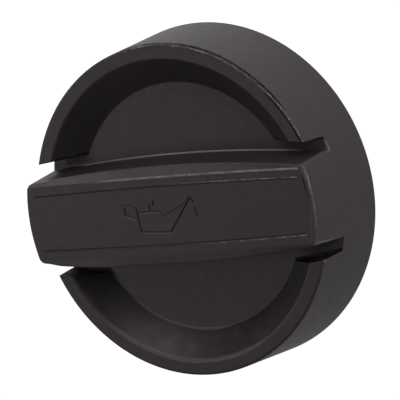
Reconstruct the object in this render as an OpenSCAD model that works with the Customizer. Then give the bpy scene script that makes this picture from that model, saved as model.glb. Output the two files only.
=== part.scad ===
// Oil filler cap of a car engine: a moulded shell with a grip bar across two dished finger
// wells, a bayonet plug joined to its underside and a rubber seal ring round the plug.
// Origin: on the axis, at the open end of the plug. +Z points out of the face, X runs along the bar.

/* [Shell] */
// Diameter across the flat rim face
rim_d = 66; // [60:0.5:74]
// How much wider the skirt is at its open edge than at the rim
skirt_flare = 1.8; // [0:0.1:3]
// Height of the skirt, from its open edge to the rim face
skirt_h = 18; // [16:0.5:24]
// Thickness of the moulded walls
wall = 2.4; // [1.8:0.1:2.8]
// Rounding of the skirt's open edge and of the rim's outer edge
edge_round = 0.4; // [0.1:0.1:0.8]

/* [Finger wells] */
// Width of the flat rim face
rim_face_w = 2.9; // [2:0.1:4]
// Depth of the well floor below the rim face
well_depth = 4.6; // [3.5:0.1:5.5]
// Horizontal run of the sloping well wall
well_run = 5.4; // [4:0.1:6.5]
// Rounding where the well wall turns over into the rim face
well_lip_round = 1; // [0.3:0.1:2]
// Rounding at the foot of the well wall
well_foot_round = 0.5; // [0.2:0.1:1.5]

/* [Grip bar] */
// How far the top of the bar stands above the rim face
bar_rise = 4; // [2.5:0.1:6]
// Width of the bar at its top, at mid length
bar_mid_w = 19.5; // [18:0.1:21]
// Width of the bar at its top, at its ends
bar_end_w = 15.8; // [15:0.1:17]
// Width of the flat top face, at mid length
bar_face_w = 15.4; // [14.8:0.1:16.5]
// Width of the flat top face, at the ends
bar_face_end_w = 14.6; // [13:0.1:15]
// Slope of the shoulders beside the top face, in degrees
shoulder_slope = 9; // [5:0.5:14]
// Draft of the bar's side walls, in degrees
bar_draft = 4.5; // [2:0.5:6]
// Wall between the hollow of the bar and its end faces
bar_end_wall = 2.8; // [2.6:0.1:4]

/* [Slots beside the bar] */
// Width of the gap between the bar and the slot's outer side, at the rim
slot_gap = 3.1; // [2.2:0.1:4]
// Depth of the slot floor below the rim face, at the outside of the skirt
slot_depth = 6.4; // [5.6:0.1:7.5]
// Distance from the plug's flange to where the slot floors start to run down
slot_clear = 0.3; // [0.1:0.1:1]

/* [Ribs under the wells] */
// Number of gusset ribs on each side of the bar
rib_count = 5; // [3:1:7]
// Thickness of a rib
rib_t = 1.6; // [1:0.1:2.2]
// Angle between neighbouring ribs, in degrees
rib_step = 23; // [10:1:24]
// Height of a rib's foot above the skirt's open edge
rib_lift = 5; // [3:0.5:8]
// Distance from the foot of the well wall to the inner end of a rib
rib_inset = 1.5; // [0.5:0.1:2.5]

/* [Bayonet plug] */
// Outer diameter of the plug
plug_d = 33; // [30:0.5:34]
// Wall of the plug
plug_wall = 2.4; // [1.8:0.1:3]
// How far the plug stands out below the skirt
plug_drop = 8; // [5:0.5:12]
// Thickness of the flange that closes the plug
flange_t = 2.4; // [1.8:0.1:3]
// Width of the lip round the seal's seat
lip_w = 1.2; // [0.8:0.1:1.6]
// Depth of the lip below the flange
lip_h = 1.8; // [1:0.1:2.2]
// Height of the drive key that stands in the hollow of the bar
key_h = 4; // [2:0.5:5]
// Length of the drive key
key_l = 34; // [24:1:38]
// Running clearance between the key and the walls of the hollow
key_fit = 0.15; // [0.05:0.05:0.4]

/* [Locking lugs] */
// Number of lugs round the plug
lug_count = 3; // [2:1:4]
// How far a lug stands out from the plug
lug_reach = 3.4; // [2:0.1:4]
// Height of a lug at its thick end
lug_h = 3.2; // [2.8:0.1:4]
// Height of a lug at its leading end
lug_lead_h = 2; // [1.4:0.1:2.6]
// Height of the lugs above the plug's open end
lug_lift = 1; // [0.6:0.1:3]
// Angle that a lug covers, in degrees
lug_angle = 38; // [26:1:44]
// Slope of the locking face, in degrees
lug_ramp = 6; // [3:0.5:8]
// Height of the stop on top of the lug's thick end
stop_h = 3; // [1.5:0.1:4]
// Angle that the stop covers, in degrees
stop_angle = 6; // [4:1:12]

/* [Seal ring] */
// Width of the ring, inside to outside
seal_w = 4; // [3:0.1:4.5]
// Thickness of the flat of the ring
seal_t = 1.6; // [1.2:0.1:2]
// Width of the rounded bead on its sealing side
bead_w = 2.2; // [1.6:0.1:2.6]
// Height of the bead below the flat
bead_h = 1.2; // [0.8:0.1:1.6]
// Rounding of the bead, as a share of the most that its width and height allow
bead_fullness = 0.9; // [0.4:0.05:0.95]
// Clearance between the ring and the walls of its seat
seal_fit = 0.1; // [0.05:0.05:0.3]

/* [Hidden] */

rim_r = rim_d / 2;
z_skirt = plug_drop;
z_rim = z_skirt + skirt_h;
z_floor = z_rim - well_depth;
z_under = z_floor - wall;
z_top = z_rim + bar_rise;
z_air = z_top + wall;
z_flange = z_under - flange_t;

well_r = rim_r - rim_face_w - well_run;
well_rise = well_depth / well_run;
well_normal = sqrt(1 + well_rise * well_rise);

// Sagitta over the half length gives the radius of the bar's barrel-shaped sides
bar_sag = (bar_mid_w - bar_end_w) / 2;
bar_side_r = (rim_r * rim_r + bar_sag * bar_sag) / (2 * bar_sag);
face_sag = (bar_face_w - bar_face_end_w) / 2;
face_side_r = (rim_r * rim_r + face_sag * face_sag) / (2 * face_sag);

plug_r = plug_d / 2;
seal_out_r = plug_r + seal_w;
flange_r = seal_out_r + seal_fit + lip_w;

// The slot floor runs down from the well floor, clear of the plug's flange
slot_start = flange_r + slot_clear;
slot_ramp = atan((slot_depth - well_depth) / (rim_r - slot_start));

rib_in_r = well_r + rib_inset;
rib_out_r = rim_r - wall;
span = 4 * rim_d;
overlap = 0.6;
round_steps = 5;
$fn = 128;
side_fn = 480;
face_fn = 1440;

// Outer radius of the skirt's cone at height z, also above the rim
function skirt_r(z) = rim_r + (z_rim - z) * skirt_flare / 2 / skirt_h;
function unit(v) = v / norm(v);
// Points of the arc that rounds corner p between the directions a and b
function corner_arc(p, a, b, r) =
    let (
        half = acos(a * b) / 2,
        c = p + unit(a + b) * r / sin(half),
        u = unit(p + a * r / tan(half) - c),
        v = unit(p + b * r / tan(half) - c),
        w = acos(u * v)
    )
    [for (i = [0:round_steps]) c + r * (sin(w - w * i / round_steps) * u + sin(w * i / round_steps) * v) / sin(w)];
// An outline whose corner i is rounded by radii[i]
function rounded(pts, radii) =
    let (n = len(pts))
    [for (i = [0:n - 1]) each
        radii[i] == 0 ? [pts[i]]
        : corner_arc(pts[i], unit(pts[(i + n - 1) % n] - pts[i]), unit(pts[(i + 1) % n] - pts[i]), radii[i])];

// Upright body between two cones whose arcs bulge along the bar, grown by grow on each side
module barrel(grow, draft, z0, z1) {
    foot = (z_top - z0) * tan(draft);
    head = (z_top - z1) * tan(draft);
    intersection_for(side = [-1, 1])
        translate([0, side * (bar_mid_w / 2 - bar_side_r), z0])
        cylinder(h = z1 - z0, r1 = bar_side_r + grow + foot, r2 = bar_side_r + grow + head, $fn = side_fn);
}

// The cone of the skirt, carried on above the rim, less inset all round
module skirt_cone(inset, z0, z1) {
    translate([0, 0, z0])
        cylinder(h = z1 - z0, r1 = skirt_r(z0) - inset, r2 = skirt_r(z1) - inset);
}

// Everything above the floors of the slots, which run down outwards, dropped by drop
module above_ramps(drop) {
    for (side = [0, 180])
        rotate([0, 0, side])
        translate([slot_start, 0, z_floor - drop])
        rotate([0, slot_ramp, 0])
        translate([-overlap, -span / 2, 0])
        cube([span / 2, span, span / 4]);
    translate([-slot_start, -span / 2, z_floor - drop])
        cube([2 * slot_start, span, span / 4]);
}

// The plain cone that the shell is carved from, as high as the bar
module blank() {
    outline = [[0, z_skirt], [skirt_r(z_skirt), z_skirt], [skirt_r(z_top), z_top], [0, z_top]];
    rotate_extrude()
        polygon(rounded(outline, [0, edge_round, 0, 0]));
}

// Air above the rim and in the dished wells, as if there were no bar
module air_over_rim() {
    rim_corner = [rim_r, z_rim];
    rim_arc = corner_arc(rim_corner, [-1, 0], unit([skirt_r(z_skirt), z_skirt] - rim_corner), edge_round);
    outline = [
        [0, z_floor], [well_r, z_floor], [rim_r - rim_face_w, z_rim], each rim_arc,
        [span / 2, rim_arc[round_steps][1]], [span / 2, z_air], [0, z_air]
    ];
    radii = [0, well_foot_round, well_lip_round, for (i = [0:round_steps + 3]) 0];
    rotate_extrude()
        polygon(rounded(outline, radii));
}

// Air of the slots, the finger wells and all round the bar
module air_round_bar() {
    difference() {
        union() {
            air_over_rim();
            intersection() {
                barrel(bar_rise * tan(bar_draft) + slot_gap, 0, z_skirt, z_air);
                above_ramps(0);
            }
        }
        barrel(0, bar_draft, z_skirt - overlap, z_air + overlap);
    }
}

// Air above the two sloping shoulders of the bar
module air_over_shoulders() {
    low = z_rim + overlap;
    foot = (z_top - low) / tan(shoulder_slope);
    head = (z_top - z_air) / tan(shoulder_slope);
    difference() {
        translate([-span / 2, -span / 2, low])
            cube([span, span, z_air - overlap - low]);
        intersection_for(side = [-1, 1])
            translate([0, side * (bar_face_w / 2 - face_side_r), low - overlap])
            cylinder(h = z_air - low + overlap, r1 = face_side_r + foot, r2 = face_side_r + head, $fn = face_fn);
    }
}

// Plates that stay in the hollow under the wells: the slots' casings and the gusset ribs
module plates_under_wells() {
    intersection() {
        barrel(bar_rise * tan(bar_draft) + slot_gap + wall, 0, z_skirt - overlap, z_air);
        above_ramps(wall);
    }
    for (side = [90, 270], i = [0:rib_count - 1])
        rotate([0, 0, side + (i - (rib_count - 1) / 2) * rib_step])
        rotate([90, 0, 0])
        linear_extrude(rib_t, center = true)
        polygon([
            [rib_in_r, z_rim], [rib_in_r, z_under - overlap],
            [rib_out_r, z_skirt + rib_lift], [span / 4, z_skirt + rib_lift], [span / 4, z_rim]
        ]);
}

// The hollow inside the skirt and under the wells
module hollow_under_wells() {
    inner_foot_r = skirt_r(z_skirt) - wall;
    under_r = well_r + wall * (well_normal - 1) / well_rise;
    // where the underside of the sloping wall meets the inside of the skirt
    meet_r = rim_r - wall;
    meet_z = z_under + (meet_r - under_r) * well_rise;
    difference() {
        rotate_extrude()
            polygon([
                [0, z_skirt - overlap], [inner_foot_r, z_skirt - overlap], [inner_foot_r, z_skirt],
                [meet_r, meet_z], [under_r, z_under], [0, z_under]
            ]);
        plates_under_wells();
    }
}

// The bar is cored out from below, so that its walls are as thick as the rest
module bar_hollow(inset) {
    intersection() {
        barrel(-wall - inset, bar_draft, z_skirt, z_top - wall);
        skirt_cone(bar_end_wall, z_skirt, z_top - wall);
    }
}

module cap_shell() {
    color([0.24, 0.22, 0.22])
    difference() {
        blank();
        air_round_bar();
        air_over_shoulders();
        hollow_under_wells();
        bar_hollow(0);
    }
}

// Frame that stands in the hollow of the bar and takes the turning force
module drive_key() {
    difference() {
        intersection() {
            bar_hollow(key_fit);
            translate([-key_l / 2, -span / 2, z_under - overlap])
                cube([key_l, span, key_h + overlap]);
        }
        intersection() {
            bar_hollow(key_fit + plug_wall);
            translate([plug_wall - key_l / 2, -span / 2, z_under])
                cube([key_l - 2 * plug_wall, span, key_h + overlap]);
        }
    }
}

// A sector round the axis, from the root of the lugs outwards
module lug_sector(from, to, grow) {
    rotate([0, 0, from])
        rotate_extrude(angle = to - from)
        translate([plug_r - overlap - grow, lug_lift - grow])
        square([lug_reach + overlap + 2 * grow, lug_h + stop_h + 2 * grow]);
}

// One lug: the air above its sloping locking face is cut away in front of the stop
module lug() {
    difference() {
        lug_sector(0, lug_angle, 0);
        intersection() {
            lug_sector(-stop_angle, lug_angle - stop_angle, overlap / 2);
            union() {
                translate([0, 0, lug_lift + lug_lead_h])
                    rotate([lug_ramp, 0, 0])
                    translate([0, -plug_d, 0])
                    cube([plug_d, 2 * plug_d, plug_d]);
                translate([0, -plug_d, lug_lift + lug_h])
                    cube([plug_d, 2 * plug_d, plug_d]);
            }
        }
    }
}

module bayonet_plug() {
    bore_r = plug_r - plug_wall;
    lip_in_r = flange_r - lip_w;
    outline = [
        [0, z_flange], [bore_r, z_flange], [bore_r, 0], [plug_r, 0], [plug_r, z_flange],
        [lip_in_r, z_flange], [lip_in_r, z_flange - lip_h], [flange_r, z_flange - lip_h],
        [flange_r, z_under], [0, z_under]
    ];
    radii = [0, edge_round, edge_round, edge_round, 0, 0, 0, edge_round, 0, 0];
    color([0.16, 0.16, 0.17]) {
        rotate_extrude()
            polygon(rounded(outline, radii));
        drive_key();
        for (i = [0:lug_count - 1])
            rotate([0, 0, 90 - lug_angle / 2 + i * 360 / lug_count])
            lug();
    }
}

module seal_ring() {
    in_r = plug_r + seal_fit;
    mid_r = (in_r + seal_out_r) / 2;
    z_flat = z_flange - seal_t;
    outline = [
        [in_r, z_flange], [in_r, z_flat], [mid_r - bead_w / 2, z_flat],
        [mid_r - bead_w / 2, z_flat - bead_h], [mid_r + bead_w / 2, z_flat - bead_h],
        [mid_r + bead_w / 2, z_flat], [seal_out_r, z_flat], [seal_out_r, z_flange]
    ];
    bead_round = min(bead_h, bead_w / 2) * bead_fullness;
    radii = [0, 0, 0, bead_round, bead_round, 0, 0, 0];
    color([0.1, 0.1, 0.1])
        rotate_extrude()
        polygon(rounded(outline, radii));
}

cap_shell();
bayonet_plug();
seal_ring();
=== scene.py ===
# Oil filler cap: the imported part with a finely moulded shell, its engraving, burrs and worn edges.
import math
import bmesh
import bpy
from mathutils import Matrix, Vector, noise


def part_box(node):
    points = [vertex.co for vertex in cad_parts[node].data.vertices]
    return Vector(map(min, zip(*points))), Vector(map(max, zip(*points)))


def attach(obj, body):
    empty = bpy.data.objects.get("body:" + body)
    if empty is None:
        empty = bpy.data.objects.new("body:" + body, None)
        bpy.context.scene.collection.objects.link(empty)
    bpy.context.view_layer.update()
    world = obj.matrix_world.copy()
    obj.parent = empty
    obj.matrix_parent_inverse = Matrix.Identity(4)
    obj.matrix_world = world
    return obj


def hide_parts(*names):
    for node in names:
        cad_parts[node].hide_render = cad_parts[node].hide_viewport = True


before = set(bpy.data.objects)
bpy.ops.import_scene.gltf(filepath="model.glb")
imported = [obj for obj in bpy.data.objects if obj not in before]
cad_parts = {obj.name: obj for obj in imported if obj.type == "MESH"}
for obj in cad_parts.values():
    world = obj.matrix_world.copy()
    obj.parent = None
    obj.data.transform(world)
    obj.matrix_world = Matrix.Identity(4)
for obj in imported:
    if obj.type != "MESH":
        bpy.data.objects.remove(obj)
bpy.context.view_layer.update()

# Sizes of the shell in millimetres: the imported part's, with some tenths changed after the photograph
MM = 0.001
shell_lo, shell_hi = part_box("cap_shell")
Z_SKIRT = round(shell_lo.z / MM, 3)
Z_TOP = round(shell_hi.z / MM, 3)
SKIRT_R = round(shell_hi.x / MM, 2)
RIM_R = 33.0
BAR_RISE = 4.0
Z_RIM = Z_TOP - BAR_RISE
WALL = 2.4
EDGE_ROUND = 0.4
RIM_FACE_W = 2.9
LIP_R = RIM_R - RIM_FACE_W
WELL_DEPTH = 4.6
WELL_RUN = 5.4
WELL_LIP_ROUND = 0.7
WELL_FOOT_ROUND = 0.5
Z_FLOOR = Z_RIM - WELL_DEPTH
Z_UNDER = Z_FLOOR - WALL
WELL_R = LIP_R - WELL_RUN

# The bar's sides and the edges of its top face are long arcs
BAR_MID_W = 19.5
BAR_END_W = 15.6
FACE_MID_W = 15.4
FACE_END_W = 14.6
FACE_EDGE_ROUND = 2.5
SHOULDER_SLOPE = math.radians(9)
BAR_DRAFT = math.radians(4.5)
BAR_END_WALL = 2.8
BAR_CORNER = 0.5
BAR_END_ROUND = 0.35
BAR_END_ROUND_RIGHT = 0.7
BAR_FOOT = 0.35
BAR_CORNER_LEFT = 1.1
BAR_CORNER_RIGHT = 0.9
CORNER_TURN = math.radians(75)
SUNK = 0.006

# The lower side is fuller near the left end; it swells and ends between these X
BAR_FULLER = 0.35
FULLER_SWELLS = (-31, -27)
FULLER_ENDS = (-17, -9)

# Near its ends the bar leans to follow the skirt, from and to these distances before its corners
LEAN_FROM = 5
LEAN_FULL = 2
LEAN_DEPTH = 2

# The left slots are tighter than the right ones
SLOT_GAP = 3.2
SLOT_DRAFT = math.radians(2.4)
SLOT_TIGHTER_UP = 0.4
SLOT_TIGHTER_LOW = 0.15
TIGHTER_FADE = (16, 20)
SLOT_DEPTH = 7.1
SLOT_START = 22.1
RAMP_BEND = 2

RIB_COUNT = 5
RIB_T = 1.6
RIB_STEP = 23
RIB_LIFT = 5.0
RIB_INSET = 1.5
RIB_DEPTH = 0.6

# Fine relief on the bar, too small for the part itself
BURR_H = 0.07
BURR_W = 0.3
Z_FACE = Z_TOP - BURR_H
CREASE_FADE = (-19, -12)
BORDER_HALF = 5.93
BORDER_SAG = 0.4
BORDER_REACH = 30.4
GROOVE_W = 0.28
GROOVE_DEPTH = 0.12
GROOVE_FLOOR_SHARES = (0.7, 0.35)
RIDGE_W = 0.24
RIDGE_H = 0.05
RIDGE_CREST_SHARE = 0.6
RIDGE_ROOT = 0.02
RIDGE_LAP = 0.05
SIGN_DEPTH = 0.24
SIGN_SHALLOW = 0.1
SIGN_LINE = 0.3
SIGN_THICK = 0.4
SIGN_THIN = 0.25
STROKE_SHARES = (0.22, 0.5, 0.7)
STROKE_ABOVE = 0.3
MICRO_ROUND = 0.16

# Burrs where the mould's halves met: angles in degrees at which each starts, is full, fades and ends
RIM_BURR_ANGLES = (0, 20, 100, 165)
RIM_BURR_LEAST = 0.3
EDGE_CRISP = 0.6
END_BURR_ANGLES = (-9, -3, 12.3, 13.2)
END_BURR_THICK = (2, 5, 14, 16)
END_BURR_H = 0.18
END_BURR_SPAN = 7.6
END_BURR_HALF = 0.34
END_BURR_ROOT = 0.4
END_BURR_SUNK = 0.06

# Fineness of the meshes, and how far the cutters reach past what they cut
ROUND_STEPS = 6
TURNS = 288
BAR_STEP = 0.6
SLOT_STEP = 0.75
HOLLOW_STEP = 1.5
BORDER_STEP = 1.2
CLEAR = 1.0
FAR = 60.0
AIR_TOP = Z_TOP + 2.4


def arc_radius(mid_w, end_w):
    """Radius of an arc that narrows a width from mid_w to end_w over the length of the bar."""
    sag = (mid_w - end_w) / 2
    return (RIM_R * RIM_R + sag * sag) / (2 * sag)


SIDE_R = arc_radius(BAR_MID_W, BAR_END_W)
FACE_R = arc_radius(FACE_MID_W, FACE_END_W)


def skirt_r(z):
    return RIM_R + (Z_RIM - z) * (SKIRT_R - RIM_R) / (Z_RIM - Z_SKIRT)


TOP_R = skirt_r(Z_TOP)
END_Z = Z_FACE - BAR_END_ROUND_RIGHT
RIM_GROOVE_Z = Z_RIM - 0.46
EDGE_GROOVE_R = RIM_R - 0.5
END_GROOVE_R = TOP_R - BAR_END_ROUND_RIGHT + 0.2


def side_half(x, z, grow=0.0, draft=BAR_DRAFT):
    """Half width between the bar's sides at x and height z, grown by grow on each side."""
    radius = SIDE_R + grow + (Z_TOP - z) * math.tan(draft)
    return BAR_MID_W / 2 - SIDE_R + math.sqrt(radius * radius - x * x)


def face_half(x):
    return FACE_MID_W / 2 - FACE_R + math.sqrt(FACE_R * FACE_R - x * x)


def ramp_z(x, drop=0.0):
    """Height of the slots' floors, which bend down outwards."""
    run = max(0.0, abs(x) - SLOT_START) / (RIM_R - SLOT_START)
    return Z_FLOOR - drop - run ** RAMP_BEND * (SLOT_DEPTH - WELL_DEPTH)


def clamp01(t):
    return max(0.0, min(1.0, t))


def smooth_step(low, high, t):
    t = clamp01((t - low) / (high - low))
    return t * t * (3 - 2 * t)


# Meshes in millimetres
def corner_arc(p, a, b, radius):
    """Points of the arc that rounds corner p between the directions a and b."""
    half = math.acos(max(-1.0, min(1.0, a.dot(b)))) / 2
    centre = p + (a + b).normalized() * radius / math.sin(half)
    u = (p + a * radius / math.tan(half) - centre).normalized()
    v = (p + b * radius / math.tan(half) - centre).normalized()
    turn = math.acos(max(-1.0, min(1.0, u.dot(v))))
    points = []
    for i in range(ROUND_STEPS + 1):
        out = math.sin(turn * (1 - i / ROUND_STEPS)) * u + math.sin(turn * i / ROUND_STEPS) * v
        points.append(centre + radius * out / math.sin(turn))
    return points


def rounded(points, radii):
    """The outline with each corner that has a radius turned into an arc."""
    points = [Vector(p) for p in points]
    out = []
    for i, (p, radius) in enumerate(zip(points, radii)):
        if radius == 0:
            out.append(p)
            continue
        before = (points[i - 1] - p).normalized()
        after = (points[(i + 1) % len(points)] - p).normalized()
        out.extend(corner_arc(p, before, after, radius))
    return out


def skin(name, rings, wrap):
    """Closed mesh through rings of points; a ring of one point is a pole."""
    bm = bmesh.new()
    made = [[bm.verts.new(p) for p in ring] for ring in rings]
    following = made[1:] + made[:1] if wrap else made[1:]
    for a, b in zip(made, following):
        for i in range(max(len(a), len(b))):
            corners = [a[i % len(a)], a[(i + 1) % len(a)], b[(i + 1) % len(b)], b[i % len(b)]]
            corners = list(dict.fromkeys(corners))
            if len(corners) > 2:
                bm.faces.new(corners)
    if not wrap:
        for ring in (made[0], made[-1]):
            bm.faces.new(ring)
    bmesh.ops.recalc_face_normals(bm, faces=bm.faces)
    mesh = bpy.data.meshes.new(name)
    bm.to_mesh(mesh)
    bm.free()
    obj = bpy.data.objects.new(name, mesh)
    bpy.context.scene.collection.objects.link(obj)
    return obj


def lathe(name, outline, move=None):
    """Turns an outline of (radius, height) round the axis.

    move(i, angle) says how far point i shifts out and up at an angle.
    """
    rings = []
    for i, (r, z) in enumerate(outline):
        if r == 0:
            rings.append([Vector((0, 0, z))])
            continue
        ring = []
        for k in range(TURNS):
            a = 2 * math.pi * k / TURNS
            out, up = move(i, a) if move else (0, 0)
            ring.append(Vector(((r + out) * math.cos(a), (r + out) * math.sin(a), z + up)))
        rings.append(ring)
    return skin(name, rings, True)


def loft(name, places, section):
    """Closed mesh along X, with the (y, z) points of section(x) at each of the places."""
    return skin(name, [[Vector((x, y, z)) for y, z in section(x)] for x in places], False)


def stations(reach, step, also=()):
    """Even places from -reach to reach, at most a step apart, and those in also on both sides."""
    count = math.ceil(2 * reach / step)
    even = [-reach + 2 * reach * i / count for i in range(count + 1)]
    return sorted(set(round(x, 4) for x in [*even, *also, *(-x for x in also)]))


def boolean(target, tool, operation):
    """Works tool into target and removes the tool."""
    cut = target.modifiers.new("cut", "BOOLEAN")
    cut.solver = "MANIFOLD"
    cut.operation = operation
    cut.object = tool
    bpy.context.view_layer.update()
    worked = target.evaluated_get(bpy.context.evaluated_depsgraph_get())
    mesh = bpy.data.meshes.new_from_object(worked)
    target.modifiers.clear()
    old = target.data
    target.data = mesh
    bpy.data.meshes.remove(old)
    bpy.data.objects.remove(tool)
    return target


def carve(target, *tools):
    for tool in tools:
        boolean(target, tool, "DIFFERENCE")
    return target


def join(target, *tools):
    for tool in tools:
        boolean(target, tool, "UNION")
    return target


def shared(target, tool):
    return boolean(target, tool, "INTERSECT")


# Shell
def blank():
    """The plain cone that the shell is carved from, as high as the bar."""
    outline = [(0, Z_SKIRT), (skirt_r(Z_SKIRT), Z_SKIRT), (TOP_R, Z_TOP), (0, Z_TOP)]
    sharp = rounded(outline, [0, EDGE_ROUND, BAR_END_ROUND, 0])
    soft = rounded(outline, [0, EDGE_ROUND, BAR_END_ROUND_RIGHT, 0])

    def move(i, angle):
        """The bar's right end has the softer edge."""
        return (soft[i] - sharp[i]) * (1 if math.cos(angle) > 0 else 0)

    return lathe("cap_shell_body", sharp, move)


def from_to(angle, start, full, fade, end):
    """1 between the angles full and fade, in degrees, falling to 0 at start and end."""
    turn = (math.degrees(angle) - start) % 360
    return smooth_step(0, full - start, turn) * (1 - smooth_step(fade - start, end - start, turn))


def ragged(angle, seed, scale=16):
    """Irregular share of a burr's or groove's size along it, mostly from 0.3 to 1."""
    at = Vector((math.cos(angle) * scale, math.sin(angle) * scale, seed))
    return clamp01(0.65 + 0.5 * noise.noise(at) + 0.2 * noise.noise(at * 3))


def air_over_rim():
    """Air above the rim and in the dished wells, as if there were no bar."""
    corner = Vector((RIM_R, Z_RIM))
    down_skirt = (Vector((skirt_r(Z_SKIRT), Z_SKIRT)) - corner).normalized()
    rim_arc = corner_arc(corner, Vector((-1, 0)), down_skirt, EDGE_ROUND)
    well = [(0, Z_FLOOR), (WELL_R, Z_FLOOR), (LIP_R, Z_RIM), (RIM_R - 1, Z_RIM)]
    well = rounded(well, [0, WELL_FOOT_ROUND, WELL_LIP_ROUND, 0])
    burr = [(rim_arc[0].x - BURR_W, Z_RIM), (rim_arc[0].x - BURR_W / 3, Z_RIM)]
    over = [(FAR, rim_arc[-1].y), (FAR, AIR_TOP), (0, AIR_TOP)]
    outline = [*well[:-1], *burr, *rim_arc, *over]
    base = len(well) - 1
    last = base + 1 + len(rim_arc)

    def move(i, angle):
        """Sharpens the rim's edge into a burr where the mould's halves met badly."""
        if not base <= i <= last:
            return 0, 0
        crisp = from_to(angle, *RIM_BURR_ANGLES)
        if i == base:
            return EDGE_ROUND * EDGE_CRISP * crisp, 0
        if i == base + 1:
            height = BURR_H * ragged(angle, seed=0.3) * max(crisp, RIM_BURR_LEAST)
            return EDGE_ROUND * EDGE_CRISP * crisp, height
        return tuple((corner - Vector(outline[i])) * EDGE_CRISP * crisp)

    return lathe("air_over_rim", outline, move)


def ring_groove(name, start, end, seed, depth, width, place):
    """A ragged groove between two angles in degrees; place(across, out) gives its (radius, height)."""
    clear, back, wander, wander_scale = 0.03, 0.15, 0.12, 22
    begins, fades = 4, 6
    rings = []
    for k in range(start, end + 1):
        a = math.radians(k)
        share = from_to(a, start, start + begins, end - fades, end) * ragged(a, seed, 9)
        lift = clear * (1 - 1.5 * share)
        floor = clear * (1 - share) - depth * share
        side = width / 2
        outline = [(-side, back), (-side, lift), (0, floor), (side, lift), (side, back)]
        at = Vector((math.cos(a) * wander_scale, math.sin(a) * wander_scale, seed))
        aside = wander * share * noise.noise(at)
        ring = [place(across + aside, out) for across, out in outline]
        rings.append([Vector((r * math.cos(a), r * math.sin(a), z)) for r, z in ring])
    return skin(name, rings, False)


def parting_grooves():
    """The fine grooves beside the burrs of the rim and of the bar's right end."""

    def on_skirt(across, out):
        z = RIM_GROOVE_Z + across
        return skirt_r(z) + out, z

    def on_rim(across, out):
        return EDGE_GROOVE_R + across, Z_RIM + out

    def on_bar(across, out):
        return END_GROOVE_R + across, Z_FACE + out

    return (
        ring_groove("rim_groove", 34, 114, seed=1.9, depth=0.35, width=0.55, place=on_skirt),
        ring_groove("edge_groove", 19, 44, seed=5.1, depth=0.2, width=0.35, place=on_rim),
        ring_groove("end_groove", 1, 11, seed=2.2, depth=0.15, width=0.3, place=on_bar),
        ring_groove("end_groove_low", -7, 1, seed=4.2, depth=0.08, width=0.22, place=on_bar),
    )


def slots(grow, drop):
    """The slots beside the bar and the air over their floors, between two drafted arcs."""
    foot_grow = BAR_RISE * math.tan(BAR_DRAFT) + SLOT_GAP + grow

    def section(x):
        half = side_half(x, Z_TOP, foot_grow, 0)
        floor = ramp_z(x, drop)
        low, high = (half + (z - Z_RIM) * math.tan(SLOT_DRAFT) for z in (floor, AIR_TOP))
        left = smooth_step(*TIGHTER_FADE, -x)
        up, down = left * SLOT_TIGHTER_UP, left * SLOT_TIGHTER_LOW
        return [(down - low, floor), (low - up, floor), (high - up, AIR_TOP), (down - high, AIR_TOP)]

    return loft("slots", stations(SKIRT_R + 2 * CLEAR, SLOT_STEP, [SLOT_START]), section)


def crease_burr(x):
    """Height of the burr along the upper edge of the bar's top face; it is worn away towards one end."""
    uneven = 0.5 + 0.5 * noise.noise(Vector((x * 0.9, 4.7, 0.0)))
    return BURR_H * smooth_step(*CREASE_FADE, x) * (0.5 + 0.5 * uneven)


def bar_section(x):
    """Outline across the bar: drafted sides, rounded shoulders, and a top face with a burr on one edge."""
    low = Z_SKIRT - CLEAR
    face = face_half(x)
    slope, draft = math.tan(SHOULDER_SLOPE), math.tan(BAR_DRAFT)
    drop = (side_half(x, Z_FACE) - face) * slope / (1 - draft * slope)
    edge = side_half(x, Z_FACE - drop)
    foot_z = ramp_z(x + end_lean(x, ramp_z(x))) - SUNK
    foot = side_half(x, foot_z)
    buried = foot + 2 * BAR_FOOT
    fuller = BAR_FULLER * smooth_step(*FULLER_SWELLS, x) * (1 - smooth_step(*FULLER_ENDS, x))
    lower_side = [(-foot - fuller, foot_z), (-buried - fuller, foot_z), (-buried - fuller, low)]
    upper_side = [(buried, low), (buried, foot_z), (foot, foot_z), (edge, Z_FACE - drop)]
    burr = [
        (face + BURR_W / 2, Z_FACE - slope * BURR_W / 2), (face, Z_FACE + crease_burr(x)),
        (face - BURR_W / 2, Z_FACE),
    ]
    lower_edge = [(-face, Z_FACE), (-edge - fuller, Z_FACE - drop - fuller * slope)]
    radii = [BAR_FOOT, 0, 0, 0, 0, BAR_FOOT, BAR_CORNER, 0, 0, 0, FACE_EDGE_ROUND, BAR_CORNER]
    return rounded([*lower_side, *upper_side, *burr, *lower_edge], radii)


def bar_corner_x(z):
    """Where the bar's side meets the skirt at height z."""
    return math.sqrt(skirt_r(z) ** 2 - side_half(RIM_R - 1, z) ** 2)


def end_lean(x, z):
    """How far the bar's section at x leans out at height z, to follow the skirt near the bar's ends."""
    corner_x = bar_corner_x(Z_RIM)
    near_end = smooth_step(corner_x - LEAN_FROM, corner_x - LEAN_FULL, abs(x))
    lean = bar_corner_x(max(z, Z_FLOOR - LEAN_DEPTH)) - corner_x
    return math.copysign(near_end, x) * lean


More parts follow.
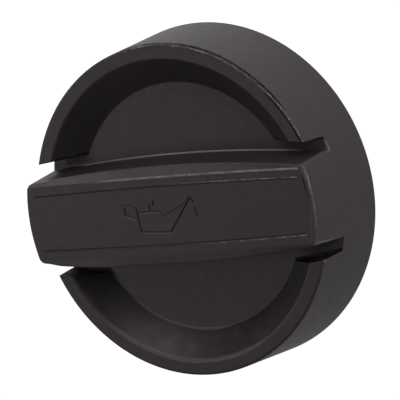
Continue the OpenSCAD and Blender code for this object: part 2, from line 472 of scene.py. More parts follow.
def bar():
    """The bar as a loft along X, with its sides turned in where they meet the skirt."""
    corners = {-1: BAR_CORNER_LEFT, 1: BAR_CORNER_RIGHT}
    corner_x = bar_corner_x(Z_RIM)
    start = {side: corner_x - radius * math.tan(CORNER_TURN / 2) for side, radius in corners.items()}
    turned = [
        side * (start[side] + corners[side] * math.sin(CORNER_TURN * i / ROUND_STEPS))
        for side in corners for i in range(ROUND_STEPS + 1)
    ]
    past_ends = (-SKIRT_R - CLEAR, SKIRT_R + CLEAR)
    rings = []
    for x in sorted([*stations(corner_x - 1, BAR_STEP), *turned, *past_ends]):
        side = 1 if x > 0 else -1
        radius = corners[side]
        run = max(0.0, min(abs(x) - start[side], radius * math.sin(CORNER_TURN)))
        turn_in = radius - math.sqrt(radius * radius - run * run)
        rings.append([
            Vector((x + end_lean(x, z), math.copysign(abs(y) - turn_in, y), z))
            for y, z in bar_section(x)
        ])
    return skin("bar", rings, False)


def rib(angle):
    """A gusset rib under the wells."""
    inner_r, outer_r = WELL_R + RIB_INSET, SKIRT_R + 2 * CLEAR
    low = Z_SKIRT + RIB_LIFT
    outline = [
        (inner_r, Z_RIM), (inner_r, Z_UNDER - RIB_DEPTH), (RIM_R - WALL, low), (outer_r, low),
        (outer_r, Z_RIM),
    ]
    turn = Matrix.Rotation(angle, 3, "Z")
    rings = [[turn @ Vector((r, side * RIB_T / 2, z)) for r, z in outline] for side in (-1, 1)]
    return skin("rib", rings, False)


def hollow_under_wells():
    """The hollow inside the skirt, less the slots' casings and the ribs."""
    rise = WELL_DEPTH / WELL_RUN
    under_r = WELL_R + WALL * (math.sqrt(1 + rise * rise) - 1) / rise
    meet_r = RIM_R - WALL
    meet_z = Z_UNDER + (meet_r - under_r) * rise
    foot_r = SKIRT_R - WALL
    low = Z_SKIRT - CLEAR
    hollow = lathe("hollow", [
        (0, low), (foot_r, low), (foot_r, Z_SKIRT), (meet_r, meet_z), (under_r, Z_UNDER), (0, Z_UNDER),
    ])
    carve(hollow, slots(WALL, WALL))
    for side in (90, 270):
        for i in range(RIB_COUNT):
            carve(hollow, rib(math.radians(side + (i - (RIB_COUNT - 1) / 2) * RIB_STEP)))
    return hollow


def bar_hollow():
    """The bar is cored out from below."""
    top = Z_TOP - WALL
    low = Z_SKIRT - CLEAR

    def section(x):
        foot, head = side_half(x, Z_SKIRT, -WALL), side_half(x, top, -WALL)
        return [(-foot, Z_SKIRT), (foot, Z_SKIRT), (head, top), (-head, top)]

    ends = lathe("ends", [
        (0, low), (skirt_r(low) - BAR_END_WALL, low), (TOP_R - BAR_END_WALL, Z_TOP), (0, Z_TOP),
    ])
    return shared(loft("bar_hollow", stations(SKIRT_R, HOLLOW_STEP), section), ends)


# Relief on the bar's top face
def border_half(x):
    return BORDER_HALF - BORDER_SAG * (x / BORDER_REACH) ** 2


def border_pair(name, reach, section):
    """A loft along each long edge of the bar's top, from the outline of the upper one."""
    along = stations(reach, BORDER_STEP)
    return (
        loft(name, along, section),
        loft(name, along, lambda x: [(-y, z) for y, z in section(x)]),
    )


def border_groove(x):
    """Outline of the border line's groove, narrower at its floor, and of the air above it."""
    b = border_half(x)
    floor, above = Z_FACE - GROOVE_DEPTH, Z_TOP + CLEAR
    inner, outer = (b - GROOVE_W * share for share in GROOVE_FLOOR_SHARES)
    return [
        (b - GROOVE_W, Z_FACE), (inner, floor), (outer, floor), (b, Z_FACE), (b, above),
        (b - GROOVE_W, above),
    ]


def border_ridge(x):
    """Outline of the swollen lip that the groove's tool has thrown up round it."""
    b = border_half(x)
    root = Z_FACE - RIDGE_ROOT
    crest = Z_FACE + RIDGE_H * (0.7 + 0.3 * noise.noise(Vector((x * 1.3, 2.1, 0.0))))
    return [
        (b - GROOVE_W - RIDGE_LAP, root), (b + RIDGE_W, root), (b + RIDGE_W * RIDGE_CREST_SHARE, crest),
        (b - RIDGE_ROOT, crest), (b - GROOVE_W, Z_FACE),
    ]


def stroke(depth, width, points):
    """A groove along a line of points on the bar's top, wider at the top than at its floor."""
    points = [Vector(p) for p in points]
    ahead = [(b - a).normalized() for a, b in zip(points, points[1:])]

    def edge(half, side):
        out = []
        for i, p in enumerate(points):
            before = ahead[max(0, i - 1)]
            after = ahead[min(i, len(ahead) - 1)]
            mid = (before + after).normalized()
            across = Vector((-mid.y, mid.x)) * side
            end = -1 if i == 0 else (1 if i == len(points) - 1 else 0)
            out.append(p + across * half / mid.dot(after) + mid * half * end)
        return out

    rings = []
    for share, z in zip(STROKE_SHARES, (Z_FACE - depth, Z_FACE, Z_FACE + STROKE_ABOVE)):
        half = width * share
        outline = edge(half, 1) + edge(half, -1)[::-1]
        rings.append([Vector((p.x, p.y, z)) for p in outline])
    return skin("stroke", rings, False)


# Strokes of the oil can: depth, width and points
OIL_CAN = [
    (SIGN_DEPTH, SIGN_LINE, [(-7.1, 2.0), (-6.75, -2.9)]),
    (SIGN_SHALLOW, SIGN_LINE, [(-6.75, -2.9), (0.05, -3.35)]),
    (SIGN_DEPTH, SIGN_LINE, [(0.05, -3.35), (5.7, 3.2)]),
    (SIGN_SHALLOW, SIGN_LINE, [(-9.85, 2.95), (-7.15, 2.0)]),
    (SIGN_DEPTH, SIGN_LINE, [(-9.7, 1.9), (-9.85, 0.5)]),
    (SIGN_SHALLOW, SIGN_LINE, [(-9.85, 0.5), (-7.3, -0.35)]),
    (SIGN_SHALLOW, SIGN_LINE, [(-6.6, 0.95), (-1.75, 0.95), (-1.1, -0.2)]),
    (SIGN_SHALLOW, SIGN_LINE, [(-1.1, -0.2), (3.3, 1.6), (5.3, 3.2)]),
    (SIGN_DEPTH, SIGN_THICK, [(-3.95, 1.3), (-3.95, 2.25)]),
    (SIGN_DEPTH, SIGN_LINE, [(-3.0, 2.15), (-3.0, 2.95)]),
    (SIGN_DEPTH, SIGN_LINE, [(5.95, 3.0), (6.4, 2.25)]),
    (SIGN_DEPTH, SIGN_THIN, [(6.35, 1.2), (6.7, -0.5)]),
]

# Painted highlights beside the strokes: x from and to, y at both ends, strength
STROKE_HIGHLIGHTS = [
    (-6.6, -1.8, 0.8, 0.8, 0.2),
    (-6.6, 0.2, -3.15, -3.55, 0.16),
    (-0.9, 3.2, -0.2, 1.5, 0.14),
    (3.3, 5.2, 1.9, 3.45, 0.12),
    (-9.8, -7.4, 0.2, -0.6, 0.22),
    (-9.9, -8.6, 3.2, 2.75, 0.2),
]


def end_burr_amount(angle):
    """The burr on the bar's right end, thick at one side and fading to the other."""
    thick = 0.6 + 0.4 * from_to(angle, *END_BURR_THICK)
    return from_to(angle, *END_BURR_ANGLES) * ragged(angle, 1.3, 24) * thick


def end_burr():
    """The ragged burr low on the rounded edge at the bar's right end."""
    r = skirt_r(END_Z)
    back, front = r - END_BURR_ROOT, r - END_BURR_SUNK
    outline = [
        (back, END_Z + END_BURR_ROOT), (front, END_Z + END_BURR_HALF),
        (front, END_Z - END_BURR_HALF), (back, END_Z - END_BURR_ROOT),
    ]

    def move(i, angle):
        return (END_BURR_H * end_burr_amount(angle) if i in (1, 2) else 0), 0

    def section(x):
        low, high = END_Z - CLEAR, END_Z + CLEAR
        return [(-END_BURR_SPAN, low), (END_BURR_SPAN, low), (END_BURR_SPAN, high), (-END_BURR_SPAN, high)]

    return shared(lathe("end_burr", outline, move), loft("end_burr_span", [0, SKIRT_R], section))


def make_shell():
    """The shell as one closed mesh, in millimetres."""
    air = join(air_over_rim(), slots(0, 0))
    carve(air, bar())
    body = carve(blank(), air, hollow_under_wells(), bar_hollow())
    join(body, *border_pair("border_ridge", BORDER_REACH + RIDGE_W, border_ridge), end_burr())
    carve(body, *border_pair("border_groove", BORDER_REACH, border_groove), *parting_grooves())
    return carve(body, *(stroke(*shape) for shape in OIL_CAN))


WELD = 0.004
SLIVER = 0.002
FLAT_ANGLE = math.radians(0.02)
SHARP_ANGLE = math.radians(24)
NORMALS_WEIGHT = 60


def finish_mesh(obj):
    """Welds the mesh, joins its flat faces, marks its sharp edges and scales it to metres."""
    bm = bmesh.new()
    bm.from_mesh(obj.data)
    bmesh.ops.remove_doubles(bm, verts=bm.verts, dist=WELD)
    bmesh.ops.dissolve_degenerate(bm, dist=SLIVER, edges=bm.edges)
    bmesh.ops.dissolve_limit(bm, angle_limit=FLAT_ANGLE, verts=bm.verts, edges=bm.edges)
    for f in bm.faces:
        f.smooth = True
    for e in bm.edges:
        e.smooth = len(e.link_faces) == 2 and e.calc_face_angle(0.0) < SHARP_ANGLE
    for v in bm.verts:
        v.co *= MM
    bm.to_mesh(obj.data)
    bm.free()
    normals = obj.modifiers.new("normals", "WEIGHTED_NORMAL")
    normals.keep_sharp = True
    normals.weight = NORMALS_WEIGHT


shell = make_shell()
finish_mesh(shell)
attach(shell, "root")
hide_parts("cap_shell")

# Camera at the photograph's viewing angle; azimuth 0 is at -Y and 90 at +X
CAM_AZIMUTH = math.radians(105.978)
CAM_ELEVATION = math.radians(55.303)
CAM_ROLL = math.radians(-113.294)
CAM_AWAY = 0.90217
CAM_AIM = Vector((3.588, 1.337, 23.357)) * MM
FOCAL_PX = 4646.4
PHOTO_PX = 400


def photo_camera():
    camera = bpy.data.objects.new("camera", bpy.data.cameras.new("camera"))
    bpy.context.scene.collection.objects.link(camera)
    camera.data.sensor_width = 36
    camera.data.lens = camera.data.sensor_width * FOCAL_PX / PHOTO_PX
    camera.data.clip_start = 0.05
    camera.data.clip_end = 20
    turn = Matrix.Rotation(CAM_AZIMUTH, 4, "Z") @ Matrix.Rotation(math.pi / 2 - CAM_ELEVATION, 4, "X")
    back = Matrix.Translation((0, 0, CAM_AWAY))
    camera.matrix_world = Matrix.Translation(CAM_AIM) @ turn @ Matrix.Rotation(CAM_ROLL, 4, "Z") @ back
    return camera


bpy.context.scene.camera = photo_camera()


# Materials
class Shader:
    """One material, with short ways to add and link its nodes."""

    def __init__(self, name):
        self.material = bpy.data.materials.new(name)
        self.material.use_nodes = True
        self.tree = self.material.node_tree
        self.surface = self.tree.nodes["Principled BSDF"]
        self.output = self.tree.nodes["Material Output"]
        place = self.node("TexCoord").outputs["Object"]
        self.at = self.vector("MULTIPLY", place, (1 / MM, 1 / MM, 1 / MM)).outputs[0]
        self.x, self.y, self.z = self.node("SeparateXYZ", {"Vector": self.at}).outputs

    def node(self, kind, values=None, **settings):
        n = self.tree.nodes.new("ShaderNode" + kind)
        for key, value in settings.items():
            setattr(n, key, value)
        for key, value in (values or {}).items():
            self.put(n.inputs[key], value)
        return n

    def put(self, socket, value):
        if isinstance(value, bpy.types.NodeSocket):
            self.tree.links.new(value, socket)
        else:
            socket.default_value = value

    def maths(self, operation, *values):
        return self.node("Math", dict(enumerate(values)), operation=operation).outputs[0]

    def vector(self, operation, *values):
        return self.node("VectorMath", dict(enumerate(values)), operation=operation)

    def distance(self, a, b):
        return self.vector("DISTANCE", a, b).outputs["Value"]

    def spread(self, value, low, high, to_low=0.0, to_high=1.0):
        """value from low..high spread over to_low..to_high with soft ends."""
        return self.node("MapRange", {
            "Value": value, "From Min": low, "From Max": high, "To Min": to_low, "To Max": to_high,
        }, interpolation_type="SMOOTHSTEP").outputs["Result"]

    def rise(self, value, low, high, top=1.0):
        """0 up to low, top from high on."""
        return self.spread(value, low, high, 0.0, top)

    def fall(self, value, low, high, top=1.0):
        """top up to low, 0 from high on."""
        return self.spread(value, low, high, top, 0.0)

    def near(self, value, target, reach):
        """1 where value is at target, 0 from reach away."""
        away = self.maths("ABSOLUTE", self.maths("SUBTRACT", value, target))
        return self.fall(away, reach * 0.4, reach)

    def noise(self, scale, detail=2.0, rough=0.5):
        return self.node("TexNoise", {
            "Vector": self.at, "Scale": scale, "Detail": detail, "Roughness": rough,
        }).outputs["Fac"]

    def mix(self, factor, a, b):
        n = self.node("Mix", {"Factor": factor}, data_type="RGBA")
        self.put(n.inputs[6], a)
        self.put(n.inputs[7], b)
        return n.outputs[2]

    def product(self, *values):
        result = values[0]
        for value in values[1:]:
            result = self.maths("MULTIPLY", result, value)
        return result

    def any_of(self, *values):
        result = values[0]
        for value in values[1:]:
            result = self.maths("MAXIMUM", result, value)
        return result

    def paint(self, colour, roughness):
        self.put(self.surface.inputs["Base Color"], colour)
        self.put(self.surface.inputs["Roughness"], roughness)
        return self.material


def rgba(colour):
    return (*colour, 1.0)


def scaled(colour, k):
    return tuple(c * k for c in colour)


SHELL_COLOUR = (0.045, 0.0365, 0.0395)
SHELL_ROUGH = 0.44
SHEEN_TINT = (1.0, 0.89, 0.92)
WORN_AND_HIGHLIGHT_COLOUR = (0.42, 0.38, 0.39)
# Painted shade and the real stains: a near-black colour, a little more roughness and a dimmed sheen
SHADE_AND_STAIN_COLOUR = (0.006, 0.005, 0.0055)
SHADE_AND_STAIN_ROUGHER = 0.3
SHADE_AND_STAIN_SHEEN = 0.3
SPECK_COLOUR = (0.12, 0.11, 0.11)
PLUG_COLOUR = (0.026, 0.026, 0.028)
SEAL_COLOUR = (0.012, 0.012, 0.013)
BLOOM_COLOUR = (0.045, 0.045, 0.047)


def moulded(name, colour, rough, grain, mottle):
    """Satin moulded surface: fine grain, edges a hair round, faint clouds of tone and uneven sheen."""
    m = Shader(name)
    clouds = m.rise(m.noise(0.16, 3.0), 0.35, 0.65)
    m.tone = m.mix(clouds, rgba(scaled(colour, 1 - mottle)), rgba(scaled(colour, 1 + mottle)))
    m.gloss = m.spread(m.noise(0.7, 4.0), 0.3, 0.7, rough - 0.03, rough + 0.03)
    fine = m.product(m.noise(4.5, 2.0, 0.6), 0.6)
    coarse = m.product(m.noise(1.3, 2.0), 0.4)
    m.edge_normal = m.node("Bevel", {"Radius": MICRO_ROUND * MM}, samples=6).outputs[0]
    bump = m.node("Bump", {
        "Height": m.maths("ADD", fine, coarse), "Strength": 0.35, "Distance": grain * MM,
        "Normal": m.edge_normal,
    })
    m.put(m.surface.inputs["Normal"], bump.outputs[0])
    m.surface.inputs["Specular Tint"].default_value = rgba(SHEEN_TINT)
    return m


# Marks on the shell. Each is a mask from 0 to 1, made from places in millimetres: x is positive at
# the bar's right end, y at its upper side
def measure_shell(m):
    """Distances, zones and noises that the masks are made from."""
    m.away_x, m.away_y = m.maths("ABSOLUTE", m.x), m.maths("ABSOLUTE", m.y)
    flat = m.node("CombineXYZ", {"X": m.x, "Y": m.y}).outputs[0]
    folded = m.node("CombineXYZ", {"X": m.x, "Y": m.away_y}).outputs[0]
    m.r = m.vector("LENGTH", flat).outputs["Value"]
    face_centre = (0, FACE_MID_W / 2 - FACE_R, 0)
    m.from_crease, m.from_face = m.distance(flat, face_centre), m.distance(folded, face_centre)
    m.from_side = m.distance(folded, (0, BAR_MID_W / 2 - SIDE_R, 0))
    draft = math.tan(BAR_DRAFT)
    m.beside = m.maths("SUBTRACT", m.from_side, m.maths("MULTIPLY_ADD", m.z, -draft, SIDE_R + Z_TOP * draft))
    m.off_bar = m.rise(m.beside, 0.3, 0.8)
    m.on_face = m.rise(m.z, Z_FACE - 0.12, Z_FACE + 0.02)
    m.right_end = m.rise(m.x, 20, 22)
    m.upper_half = m.rise(m.y, 0, 1)
    m.facing = m.node("NewGeometry").outputs["Normal"]
    m.patchy = m.spread(m.noise(0.35, 2.0), 0.35, 0.6, 0.35, 1.0)
    m.ragged = m.product(m.spread(m.noise(1.1, 3.0, 0.7), 0.33, 0.58, 0.15, 1.0), m.patchy)
    m.crumbs = m.spread(m.noise(2.4, 3.0, 0.6), 0.35, 0.6, 0.35, 1.0)


def crease_mark(m):
    """The burr along the upper edge of the bar's top face, stress-whitened and with a painted highlight; it
    is worn away towards one end.
    """
    on_line = m.near(m.from_crease, FACE_R, 0.3)
    inside = m.fall(m.r, TOP_R - 0.9, TOP_R - 0.6)
    uneven = m.spread(m.ragged, 0.1, 0.8, 0.45, 1.0)
    return m.product(on_line, m.on_face, inside, m.rise(m.x, -20, -9), 0.9, uneven)


def shoulder_highlight(m):
    """Painted highlight on the bar's shoulders, most on the upper one and to the left."""
    past_face = m.rise(m.from_face, FACE_R - 0.1, FACE_R + 0.15)
    high = m.rise(m.z, Z_TOP - 1.1, Z_TOP - 0.6)
    less_below = m.spread(m.y, -1, 1, 0.6, 1.0)
    less_right = m.spread(m.x, 8, 26, 1.0, 0.25)
    more_left = m.spread(m.x, -22, -4, 1.9, 1.0)
    uneven = m.spread(m.patchy, 0.35, 1.0, 0.8, 1.0)
    return m.product(past_face, high, less_below, less_right, more_left, 0.13, uneven)


def bar_end_marks(m):
    """The burr low on the round of the bar's right end, stress-whitened and with a painted highlight, and a
    painted highlight on the round.
    """
    on_burr = m.product(m.near(m.z, END_Z, 0.45), m.rise(m.r, TOP_R - 0.3, TOP_R - 0.1), m.right_end)
    along = m.product(m.rise(m.y, -5, -2), m.spread(m.y, 1, 3.5, 0.7, 1.0), m.fall(m.y, 7.3, 7.7))
    on_round = m.product(m.near(m.z, Z_FACE - 0.3, 0.45), m.rise(m.r, TOP_R - 0.95, TOP_R - 0.6))
    faint = m.spread(m.y, -1, 2, 0.1, 0.04)
    return m.product(on_burr, along), m.product(on_round, m.right_end, faint)


def bar_corner_highlight(m):
    """Painted highlight on the upright corner at the right end of the bar's lower side."""
    on_corner = m.product(m.near(m.beside, -0.4, 0.26), m.rise(m.x, 29.5, 30), m.fall(m.y, -1, 0))
    between = m.product(m.rise(m.z, 22.3, 25), m.fall(m.z, Z_FACE - 0.5, Z_FACE - 0.1))
    return m.product(on_corner, between, 0.4)


def rim_marks(m):
    """The rim's outer edge, stress-whitened and with a painted highlight: ragged along the upper half,
    fainter at the lower right.
    """
    edge_r = RIM_R - EDGE_ROUND * 0.4
    on_rim = m.product(m.near(m.z, Z_RIM, 0.3), m.off_bar)
    wobble = m.spread(m.noise(0.9, 3.0, 0.6), 0.3, 0.7, -0.14, 0.14)
    wandering = m.near(m.maths("ADD", m.r, wobble), edge_r, 0.26)
    left_less = m.spread(m.x, -16, -4, 0.2, 1.0)
    middle_more = m.spread(m.x, 4, 16, 1.4, 0.8)
    upper = m.product(wandering, on_rim, m.rise(m.y, -2, 8), left_less, middle_more)
    stretch = m.product(m.rise(m.y, -16, -8, 0.5), m.fall(m.y, -8, -4), m.rise(m.x, 8, 20))
    return upper, m.product(m.near(m.r, edge_r, 0.24), on_rim, stretch)


def border_marks(m):
    """The border lines' lips, stress-whitened and with a painted highlight: bright to the right, and faint
    streaks to the left.
    """
    reach = m.product(m.away_x, 1 / BORDER_REACH)
    border_y = m.maths("MULTIPLY_ADD", m.product(reach, reach), -BORDER_SAG, BORDER_HALF)
    past_border = m.maths("SUBTRACT", m.away_y, border_y)
    before_end = m.fall(m.away_x, BORDER_REACH, BORDER_REACH + 0.4)
    more_right = m.rise(m.x, 0, 16, 0.75)
    bright = m.product(m.near(past_border, RIDGE_W / 2, 0.22), m.on_face, before_end, more_right)
    more_left = m.product(m.rise(m.x, -24, -18), m.fall(m.x, 4, 10, 0.3))
    streaks = m.product(m.rise(m.noise(0.25, 2.0), 0.42, 0.58), more_left)
    less_below = m.spread(m.y, 0, 1, 0.5, 1.0)
    return bright, m.product(m.near(past_border, RIDGE_W / 2, 0.3), m.on_face, streaks, less_below)


def stroke_highlight(m, start, end, y_start, y_end, strength):
    """A painted highlight line from (start, y_start) to (end, y_end) on the bar's top face."""
    slope = (y_end - y_start) / (end - start)
    off_line = m.maths("SUBTRACT", m.y, m.maths("MULTIPLY_ADD", m.x, slope, y_start - start * slope))
    between = m.product(m.rise(m.x, start - 0.2, start + 0.3), m.fall(m.x, end - 0.3, end + 0.2))
    return m.product(m.near(off_line, 0, 0.26), between, m.on_face, strength)


def foot_and_lip_highlights(m):
    """Painted highlights along the foot of the bar and along the feet and lips of the wells."""
    foot_r = SIDE_R + (Z_TOP - Z_FLOOR) * math.tan(BAR_DRAFT) + BAR_FOOT * 0.3
    along_bar = m.product(m.fall(m.x, 26.2, 28.4, 0.7), m.rise(m.x, -25.5, -22))
    less_below = m.spread(m.y, -1, 1, 0.1, 1.0)
    bar_foot = m.product(m.near(m.from_side, foot_r, 0.2), m.near(m.z, Z_FLOOR, 0.4), along_bar, less_below)
    low_left = m.product(m.fall(m.y, -20, -16, 0.22), m.fall(m.x, 0, 8))
    well_foot = m.product(m.near(m.r, WELL_R + 0.1, 0.45), m.near(m.z, Z_FLOOR, 0.3), low_left)
    low = m.product(m.fall(m.y, -24, -18, 0.2), m.spread(m.x, 8, 18, 1.0, 0.2))
    well_lip = m.product(m.near(m.r, LIP_R, 0.6), m.near(m.z, Z_RIM - 0.15, 0.5), low)
    return bar_foot, well_foot, well_lip


def slot_edge_mark(m):
    """The slots' sharp edges on the skirt, found where the rounded normal turns from the face's own."""
    turned = m.maths("SUBTRACT", 1.0, m.vector("DOT_PRODUCT", m.edge_normal, m.facing).outputs["Value"])
    outside = m.rise(m.r, RIM_R - 0.9, RIM_R - 0.4)
    high, low = m.rise(m.z, Z_FLOOR - 3.2, Z_FLOOR - 2.6), m.fall(m.z, Z_TOP - 1.5, Z_TOP - 0.8)
    return m.product(m.rise(turned, 0.03, 0.16), outside, high, low, m.spread(m.x, 0, 2, 0.2, 0.8))


def slot_end_mark(m):
    """The lower lip of the upper right slot's mouth."""
    on_lip = m.product(m.near(m.z, 19.35, 0.3), m.rise(m.r, RIM_R, RIM_R + 0.15), m.rise(m.x, 29.5, 30))
    return m.product(on_lip, m.rise(m.y, 8, 8.4), m.fall(m.y, 9.4, 11.2, 0.5))


CHIPPED_CORNER = (30.9, -11.7, 25.5)


def wear_and_highlight_marks(m):
    """Where the plastic is stress-whitened, worn and scuffed, with painted highlights on its burrs, edges,
    lines and upper shoulder.
    """
    end_burr_mark, end_round_highlight = bar_end_marks(m)
    ragged_marks = m.any_of(end_burr_mark, *rim_marks(m), *border_marks(m), slot_edge_mark(m))
    chip = m.fall(m.distance(m.at, CHIPPED_CORNER), 0.25, 0.55, 0.5)
    lit_stroke_lines = [stroke_highlight(m, *line) for line in STROKE_HIGHLIGHTS]
    soft_marks = m.any_of(
        crease_mark(m), *foot_and_lip_highlights(m), bar_corner_highlight(m), slot_end_mark(m), chip, end_round_highlight, *lit_stroke_lines,
    )
    on_well_wall = m.product(m.rise(m.r, WELL_R, WELL_R + 1.5), m.fall(m.r, LIP_R - 1.0, LIP_R + 0.5))
    scuffs = m.product(m.rise(m.noise(0.3, 4.0, 0.6), 0.42, 0.75, 0.07), m.fall(m.y, -25, -20), on_well_wall)
    return m.any_of(
        m.product(ragged_marks, m.ragged, m.crumbs),
        m.product(soft_marks, m.spread(m.crumbs, 0.5, 1.0, 0.75, 1.0)),
        shoulder_highlight(m), scuffs,
    )


def slot_painted_shade(m):
    """Painted shade on the slots' outer walls, in the lower left slot's mouth and at the upper left one's
    floor.
    """
    draft = math.tan(SLOT_DRAFT)
    wall_r = SIDE_R + SLOT_GAP + BAR_RISE * math.tan(BAR_DRAFT) - Z_RIM * draft
    past_wall = m.maths("SUBTRACT", m.from_side, m.maths("MULTIPLY_ADD", m.z, draft, wall_r))
    on_wall = m.product(m.rise(past_wall, -0.7, -0.5), m.fall(past_wall, 0.01, 0.06))
    high = m.product(m.fall(m.z, Z_RIM - 0.6, Z_RIM - 0.1), m.rise(m.z, Z_FLOOR - 2.1, Z_FLOOR - 1.8))
    in_slots = m.rise(m.away_x, SLOT_START - 1, SLOT_START)
    left, right = m.spread(m.y, -1, 1, 0.75, 0.95), m.spread(m.y, -1, 1, 0.9, 0.8)
    walls = m.product(on_wall, high, in_slots, m.spread(m.x, -2, 2, left, right))

    ring = m.product(m.rise(m.r, WELL_R - 1.0, WELL_R - 0.1), m.fall(m.r, RIM_R - 0.6, RIM_R - 0.2))
    beside_bar = m.product(m.fall(m.y, -9.5, -9), m.rise(m.y, -13.6, -12.4), m.fall(m.x, -16, -15))
    low = m.fall(m.z, Z_FLOOR + 0.1, Z_FLOOR + 0.4)
    mouth = m.product(ring, beside_bar, low, m.spread(m.x, -30, -27, 0.3, 0.7))

    on_floor = m.product(m.near(m.z, Z_FLOOR, 0.6), m.fall(m.r, RIM_R - 1.5, RIM_R - 0.8), m.upper_half)
    floor_end = m.product(on_floor, m.rise(m.x, -26.5, -25), m.fall(m.x, -24, -19, 0.3))
    return m.any_of(walls, mouth, floor_end)


def wall_painted_shade(m):
    """Painted shade on the wells' walls at the left and on the bar's upper side."""
    on_well = m.product(m.rise(m.r, WELL_R - 0.2, WELL_R + 0.4), m.fall(m.r, LIP_R - 0.6, LIP_R + 0.4))
    on_well = m.product(on_well, m.fall(m.z, Z_RIM - 0.3, Z_RIM), m.off_bar)
    lower = m.product(m.fall(m.y, -1, 1), m.fall(m.x, -24, -16, 0.7))
    upper = m.product(m.upper_half, m.fall(m.x, -24, -8, 0.5))
    on_bar = m.product(m.near(m.beside, 0.0, 0.3), m.fall(m.z, Z_TOP - 1.6, Z_TOP - 0.9), m.upper_half)
    along_bar = m.product(m.rise(m.x, -28.7, -26.6), m.fall(m.x, -22, -6, 0.45))
    return m.any_of(m.product(on_well, lower), m.product(on_well, upper), m.product(on_bar, along_bar))


STAINS = ((8.3, -25.1, 22.9), (12.3, -22.3, 22.0))


def smudges(m):
    """A smudge and two stains at the foot of the lower well's wall."""
    above_foot = m.product(m.rise(m.r, WELL_R - 0.5, WELL_R + 0.3), m.fall(m.r, WELL_R + 1.5, WELL_R + 4))
    patch = m.product(m.rise(m.x, 1, 5), m.fall(m.x, 9, 15, 0.28), m.fall(m.y, -15, -12))
    smudge = m.product(m.rise(m.noise(0.4, 3.0, 0.6), 0.4, 0.6), above_foot, patch)
    blur = m.spread(m.noise(0.8, 3.0, 0.6), 0.3, 0.7, -0.9, 0.9)
    away = [m.maths("ADD", m.distance(m.at, stain), blur) for stain in STAINS]
    stains = m.any_of(*(m.fall(reach, 0.8, 1.9, 0.42) for reach in away))
    return m.any_of(smudge, m.product(stains, m.rise(m.r, WELL_R - 0.1, WELL_R + 0.3)))


def groove_painted_shade(m):
    """Painted shade in the fine grooves beside the rim's edge and the bar's right end."""
    on_skirt = m.product(m.rise(m.r, RIM_R - 0.5, RIM_R - 0.3), m.rise(m.x, -14, -6))
    narrow = m.product(m.near(m.z, Z_RIM - 0.5, 0.52), m.rise(m.y, 17, 20))
    wide = m.product(m.near(m.z, Z_RIM - 0.7, 0.9), m.rise(m.y, 27, 30, 0.9))
    on_edge = m.product(m.near(m.r, EDGE_GROOVE_R, 0.3), m.near(m.z, Z_RIM, 0.4), m.rise(m.x, 0, 1))
    edge = m.product(on_edge, m.rise(m.y, 10, 12.5), m.fall(m.y, 20, 23))
    on_end = m.product(m.near(m.r, END_GROOVE_R, 0.26), m.on_face, m.rise(m.x, 0, 1))
    end = m.product(on_end, m.rise(m.y, 0.5, 2), m.fall(m.y, 5.5, 6.5, 0.8))
    lines = m.any_of(m.product(on_skirt, narrow), m.product(on_skirt, wide), edge, end)
    return m.product(lines, m.spread(m.ragged, 0.1, 0.7, 0.5, 1.0))


def specks(m):
    """Light specks scattered in the plastic, here and there."""
    cells = m.node("TexVoronoi", {"Vector": m.at, "Scale": 0.42, "Randomness": 1.0})
    dots = m.fall(cells.outputs["Distance"], 0.03, 0.08, 0.35)
    return m.product(dots, m.rise(cells.outputs["Color"], 0.72, 0.8))


def shell_plastic():
    """Charcoal plastic with light specks, stress-whitened edges with painted highlights, stains, and painted
    shade in its crevices and on its walls.
    """
    m = moulded("charcoal_plastic", SHELL_COLOUR, SHELL_ROUGH, grain=0.014, mottle=0.04)
    measure_shell(m)
    tone = m.mix(specks(m), m.tone, rgba(SPECK_COLOUR))
    # Pale colour for whitened and worn places and for the painted highlights
    tone = m.mix(wear_and_highlight_marks(m), tone, rgba(WORN_AND_HIGHLIGHT_COLOUR))
    facing_up = m.node("SeparateXYZ", {"Vector": m.facing}).outputs["Z"]
    uneven = m.spread(m.noise(0.3, 3.0), 0.3, 0.6, 0.75, 1.0)
    # Painted shade in the slots, the fine grooves and on the walls, together with the real stains; it also
    # dims the sheen
    shade_and_stains = m.any_of(slot_painted_shade(m), wall_painted_shade(m), smudges(m), groove_painted_shade(m))
    shade_and_stains = m.product(shade_and_stains, uneven, m.rise(facing_up, -0.6, -0.4))
    sheen = m.mix(shade_and_stains, rgba(SHEEN_TINT), rgba(scaled(SHEEN_TINT, SHADE_AND_STAIN_SHEEN)))
    m.put(m.surface.inputs["Specular Tint"], sheen)
    rougher = m.maths("MULTIPLY_ADD", shade_and_stains, SHADE_AND_STAIN_ROUGHER, m.gloss)
    return m.paint(m.mix(shade_and_stains, tone, rgba(SHADE_AND_STAIN_COLOUR)), rougher)


def plug_plastic():
    m = moulded("plug_nylon", PLUG_COLOUR, 0.4, grain=0.012, mottle=0.08)
    return m.paint(m.tone, m.gloss)


def seal_rubber():
    """Matt rubber with a trace of pale bloom."""
    m = moulded("seal_rubber", SEAL_COLOUR, 0.62, grain=0.01, mottle=0.2)
    bloom = m.rise(m.noise(1.1, 4.0, 0.6), 0.5, 0.75, 0.35)
    return m.paint(m.mix(bloom, m.tone, rgba(BLOOM_COLOUR)), m.gloss)


FLOOR_COLOUR = (0.5, 0.5, 0.5)
FLOOR_ROUGH = 0.9
FLOOR_GLOW = 0.95
FLOOR_GLEAM_NEAR = 0.22
FLOOR_GLEAM_FAR = 0.58
GLEAM_REACH = 60.0


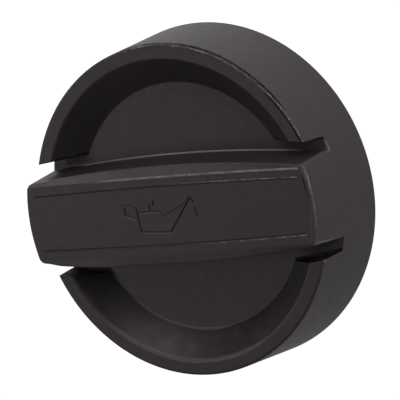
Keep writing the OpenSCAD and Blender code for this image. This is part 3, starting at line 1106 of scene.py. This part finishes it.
def white_floor():
    """Pale floor that the lens sees as white, and that still takes the object's shadow.

    Reflections see it brighter at the far side.
    """
    m = Shader("floor_white")
    m.surface.inputs["Base Color"].default_value = rgba(FLOOR_COLOUR)
    m.surface.inputs["Roughness"].default_value = FLOOR_ROUGH
    m.surface.inputs["Specular IOR Level"].default_value = 0.0
    rays = m.node("LightPath")
    mirrored = m.any_of(rays.outputs["Is Glossy Ray"], rays.outputs["Is Transmission Ray"])
    gleam = m.spread(m.y, -GLEAM_REACH, GLEAM_REACH, FLOOR_GLEAM_NEAR, FLOOR_GLEAM_FAR)
    seen = m.any_of(m.product(rays.outputs["Is Camera Ray"], FLOOR_GLOW), m.product(mirrored, gleam))
    glow = m.node("Emission", {"Color": rgba((1, 1, 1)), "Strength": seen})
    both = m.node("AddShader", {0: m.surface.outputs[0], 1: glow.outputs[0]})
    m.put(m.output.inputs["Surface"], both.outputs[0])
    return m.material


def dress(obj, material):
    obj.data.materials.clear()
    obj.data.materials.append(material)


dress(shell, shell_plastic())
dress(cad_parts["bayonet_plug"], plug_plastic())
dress(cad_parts["seal_ring"], seal_rubber())

# Floor and light, in metres and watts
FLOOR_SIZE = 6
WORLD_LIGHT = 0.1
LAMP_AWAY = 0.8
LAMP_SIZE = 0.5

bpy.ops.mesh.primitive_plane_add(size=FLOOR_SIZE)
floor = bpy.context.object
floor.name = "floor"
dress(floor, white_floor())

world = bpy.data.worlds.new("studio")
world.use_nodes = True
world.node_tree.nodes["Background"].inputs["Color"].default_value = rgba((1, 1, 1))
world.node_tree.nodes["Background"].inputs["Strength"].default_value = WORLD_LIGHT
bpy.context.scene.world = world


def softbox(name, azimuth, elevation, watts):
    """A round soft lamp that shines at the object; azimuth 0 is at -Y and 90 at +X."""
    lamp = bpy.data.lights.new(name, "AREA")
    lamp.shape = "DISK"
    lamp.size = LAMP_SIZE
    lamp.energy = watts
    obj = bpy.data.objects.new(name, lamp)
    bpy.context.scene.collection.objects.link(obj)
    a, e = math.radians(azimuth), math.radians(elevation)
    toward = Vector((math.sin(a) * math.cos(e), -math.cos(a) * math.cos(e), math.sin(e)))
    obj.location = toward * LAMP_AWAY
    obj.rotation_mode = "QUATERNION"
    obj.rotation_quaternion = (-toward).to_track_quat("-Z", "Y")


softbox("key", azimuth=115, elevation=25, watts=1.68)
softbox("far_key", azimuth=185, elevation=25, watts=1.13)
softbox("fill", azimuth=270, elevation=45, watts=0.76)

bpy.context.scene.view_settings.view_transform = "Standard"
